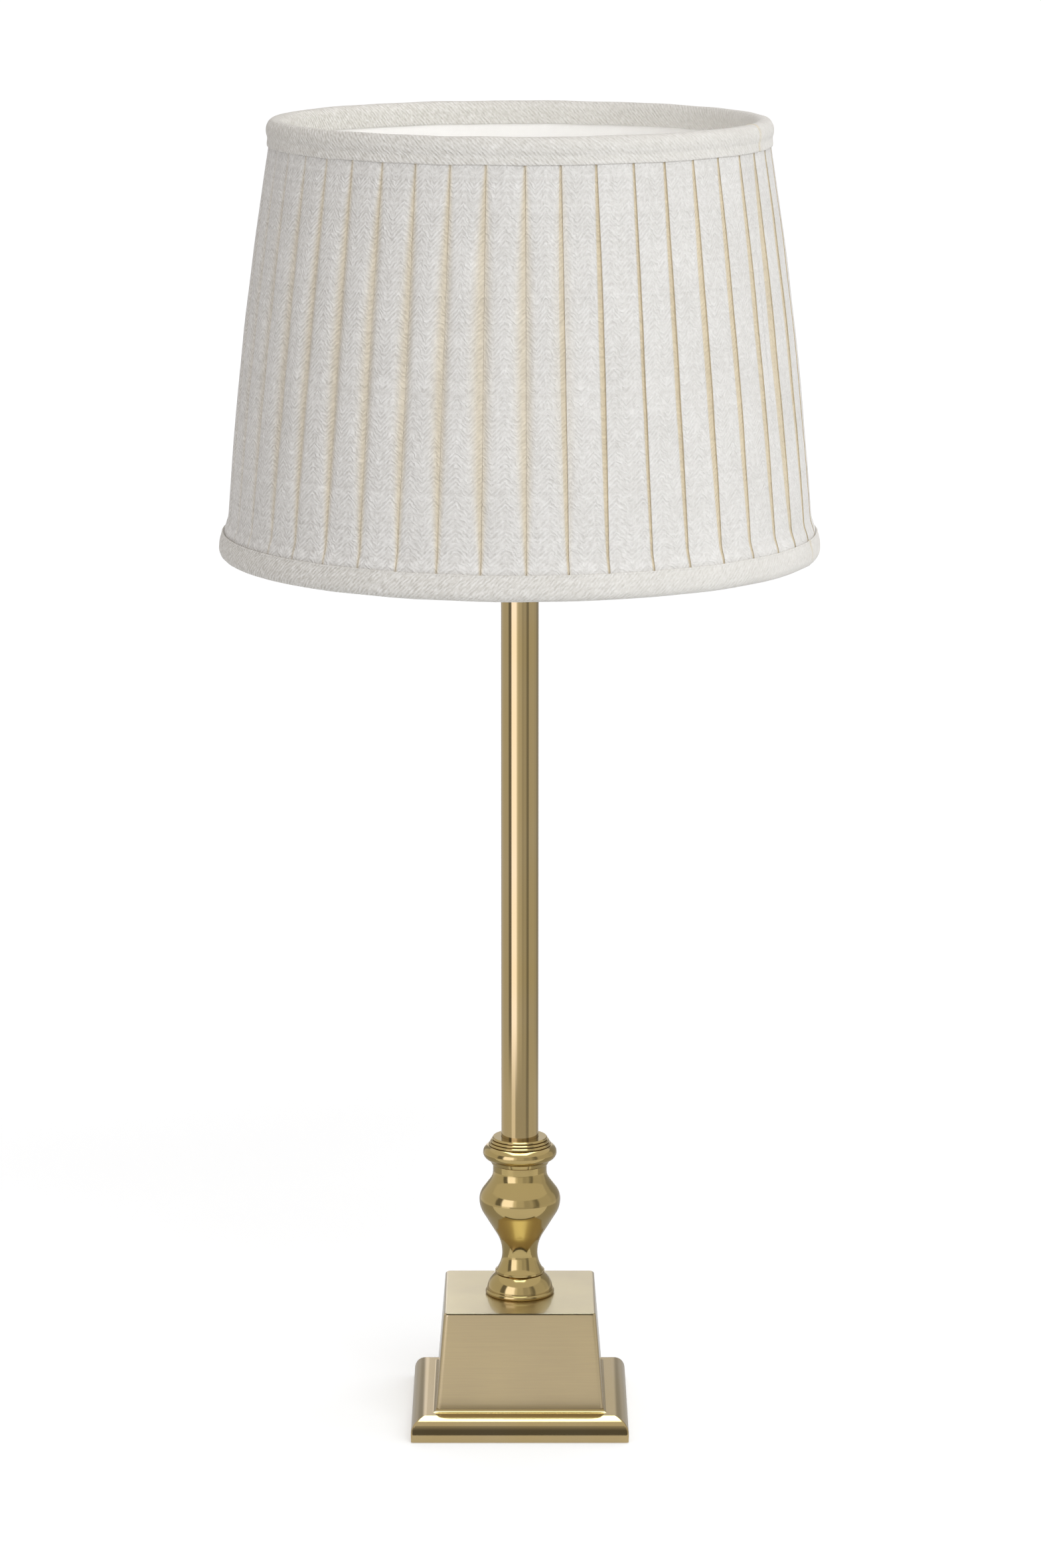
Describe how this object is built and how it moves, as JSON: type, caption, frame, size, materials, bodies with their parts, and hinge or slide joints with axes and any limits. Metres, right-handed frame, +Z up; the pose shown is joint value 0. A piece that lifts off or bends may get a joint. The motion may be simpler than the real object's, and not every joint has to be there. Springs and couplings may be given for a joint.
{
  "type": "candlestick table lamp",
  "caption": "Brass candlestick table lamp on a square moulded foot, with a turned baluster, a slim column, a screw lampholder with bulb and a knife-pleated tapered fabric shade.",
  "frame": {"origin": "centre of the square base on the surface that the lamp stands on", "axes": "+Z up along the column, front towards -Y, cord inlet at +Y"},
  "size_m": [0.3012, 0.3012, 0.6672],
  "materials": {
    "brass_foot": "polished, lacquered",
    "brass_block": "brushed satin, lacquered",
    "brass_turned": "turned and polished",
    "brass_tube": "polished tube",
    "brass_fitting": "bright pressed brass",
    "switch_plastic": "moulded",
    "felt": "felt",
    "ballast": "rough cast",
    "grommet_rubber": "matte",
    "steel": "zinc plated",
    "insulator": "matte porcelain",
    "bulb_opal": "opal",
    "bulb_metal": "bright",
    "shade_fabric": "pleated slubbed cloth",
    "binding_fabric": "bias binding",
    "lining_fabric": "plain lining",
    "shade_wire": "white painted wire"
  },
  "bodies": {
    "lamp": {"base_foot": "brass_foot", "base_felt": "felt", "plinth_block": "brass_block", "base_weight": "ballast", "cord_grommet": "grommet_rubber", "base_washer": "steel", "base_nut": "steel", "tie_rod": "steel", "baluster_foot": "brass_turned", "baluster": "brass_turned", "column_seat": "brass_turned", "column_tube": "brass_tube", "column_cap": "brass_tube", "holder_cap": "brass_fitting", "holder_shell": "brass_fitting", "holder_core": "insulator", "screw_shell": "brass_fitting", "centre_contact": "brass_fitting", "terminal_screws": "steel", "lower_shade_ring": "brass_fitting"},
    "shade": {"pleated_cover": "shade_fabric", "shade_lining": "lining_fabric", "top_binding": "binding_fabric", "bottom_binding": "binding_fabric", "top_wire": "shade_wire", "bottom_wire": "shade_wire", "shade_struts": "shade_wire", "fitter_arms": "shade_wire", "fitter_ring": "shade_wire"},
    "ring": {"upper_shade_ring": "brass_fitting"},
    "switch": {"switch_bar": "switch_plastic"},
    "bulb": {"bulb_glass": "bulb_opal", "bulb_cap": "bulb_metal", "bulb_contact": "bulb_metal"}
  },
  "joints": [
    {"name": "shade_turn", "type": "hinge", "parent": "lamp", "child": "shade", "pos_m": [0, 0, 0.4892], "axis": [0, 0, 1], "continuous": true},
    {"name": "ring_turn", "type": "hinge", "parent": "lamp", "child": "ring", "pos_m": [0, 0, 0.4909], "axis": [0, 0, 1], "continuous": true},
    {"name": "bulb_unscrew", "type": "hinge", "parent": "lamp", "child": "bulb", "pos_m": [0, 0, 0.4873], "axis": [0, 0, 1], "range_deg": [0, 900]},
    {"name": "switch_push", "type": "slide", "parent": "lamp", "child": "switch", "axis": [-1, 0, 0], "range_m": [0, 0.005]}
  ]
}
